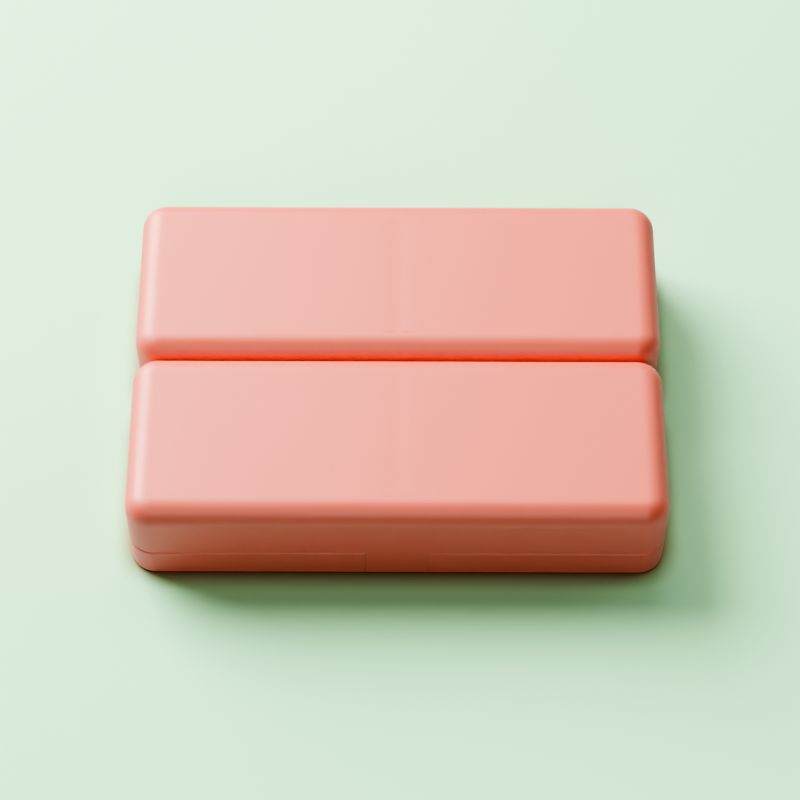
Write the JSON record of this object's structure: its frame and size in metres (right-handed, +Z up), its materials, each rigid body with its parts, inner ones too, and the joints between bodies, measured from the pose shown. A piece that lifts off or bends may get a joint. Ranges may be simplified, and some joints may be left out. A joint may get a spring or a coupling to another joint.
{
  "type": "folding pill case with pill splitter",
  "caption": "Folding two-bar pocket pill case with hinged storage lids and a built-in blade-and-cradle pill splitter under one lid.",
  "frame": {"origin": "centre of the hinge line on the plane that the closed lids lie on", "axes": "+X along both bars, +Y towards the rear bar, +Z up through the smooth backs"},
  "size_m": [0.105, 0.0754, 0.022],
  "materials": {
    "shell_plastic": "matte, very fine moulded texture",
    "tray_plastic": "satin, off-white",
    "seal_rubber": "soft matte silicone",
    "cradle_rubber": "soft matte elastomer",
    "pin_steel": "ground steel",
    "blade_steel": "ground stainless, honed edge",
    "magnet_plating": "nickel plate",
    "link_plastic": "satin"
  },
  "bodies": {
    "rear_case": {"rear_shell": "shell_plastic", "rear_fold_pin": "pin_steel", "rear_lid_pin": "pin_steel", "rear_magnet_cap": "shell_plastic", "rear_magnet": "magnet_plating", "rear_right_tray": "tray_plastic", "rear_left_tray": "tray_plastic"},
    "fold_link": {"right_fold_link": "link_plastic", "left_fold_link": "link_plastic"},
    "front_case": {"front_shell": "shell_plastic", "front_fold_pin": "pin_steel", "front_lid_pin": "pin_steel", "front_magnet_cap": "shell_plastic", "front_magnet": "magnet_plating", "front_left_tray": "tray_plastic", "splitter_tray": "tray_plastic", "cradle_base": "tray_plastic", "right_pill_jaw": "cradle_rubber", "left_pill_jaw": "cradle_rubber"},
    "rear_right_lid": {"rear_right_lid": "shell_plastic", "rear_right_gasket": "seal_rubber"},
    "rear_left_lid": {"rear_left_lid": "shell_plastic", "rear_left_gasket": "seal_rubber"},
    "front_left_lid": {"front_left_lid": "shell_plastic", "front_left_gasket": "seal_rubber"},
    "splitter_lid": {"splitter_lid": "shell_plastic", "splitter_blade": "blade_steel", "blade_holder": "tray_plastic", "blade_screws": "pin_steel"}
  },
  "joints": [
    {"name": "rear_fold", "type": "hinge", "parent": "rear_case", "child": "fold_link", "pos_m": [0, 0.00215, 0.002], "axis": [-1, 0, 0], "range_deg": [-90, 0]},
    {"name": "front_fold", "type": "hinge", "parent": "fold_link", "child": "front_case", "pos_m": [0, -0.00215, 0.002], "axis": [-1, 0, 0], "range_deg": [-90, 0]},
    {"name": "rear_right_lid_hinge", "type": "hinge", "parent": "rear_case", "child": "rear_right_lid", "pos_m": [0, 0.0061, 0.00175], "axis": [-1, 0, 0], "range_deg": [0, 95]},
    {"name": "rear_left_lid_hinge", "type": "hinge", "parent": "rear_case", "child": "rear_left_lid", "pos_m": [0, 0.0061, 0.00175], "axis": [-1, 0, 0], "range_deg": [0, 95]},
    {"name": "front_left_lid_hinge", "type": "hinge", "parent": "front_case", "child": "front_left_lid", "pos_m": [0, -0.0061, 0.00175], "axis": [1, 0, 0], "range_deg": [0, 95]},
    {"name": "splitter_lid_hinge", "type": "hinge", "parent": "front_case", "child": "splitter_lid", "pos_m": [0, -0.0061, 0.00175], "axis": [1, 0, 0], "range_deg": [0, 95]}
  ]
}
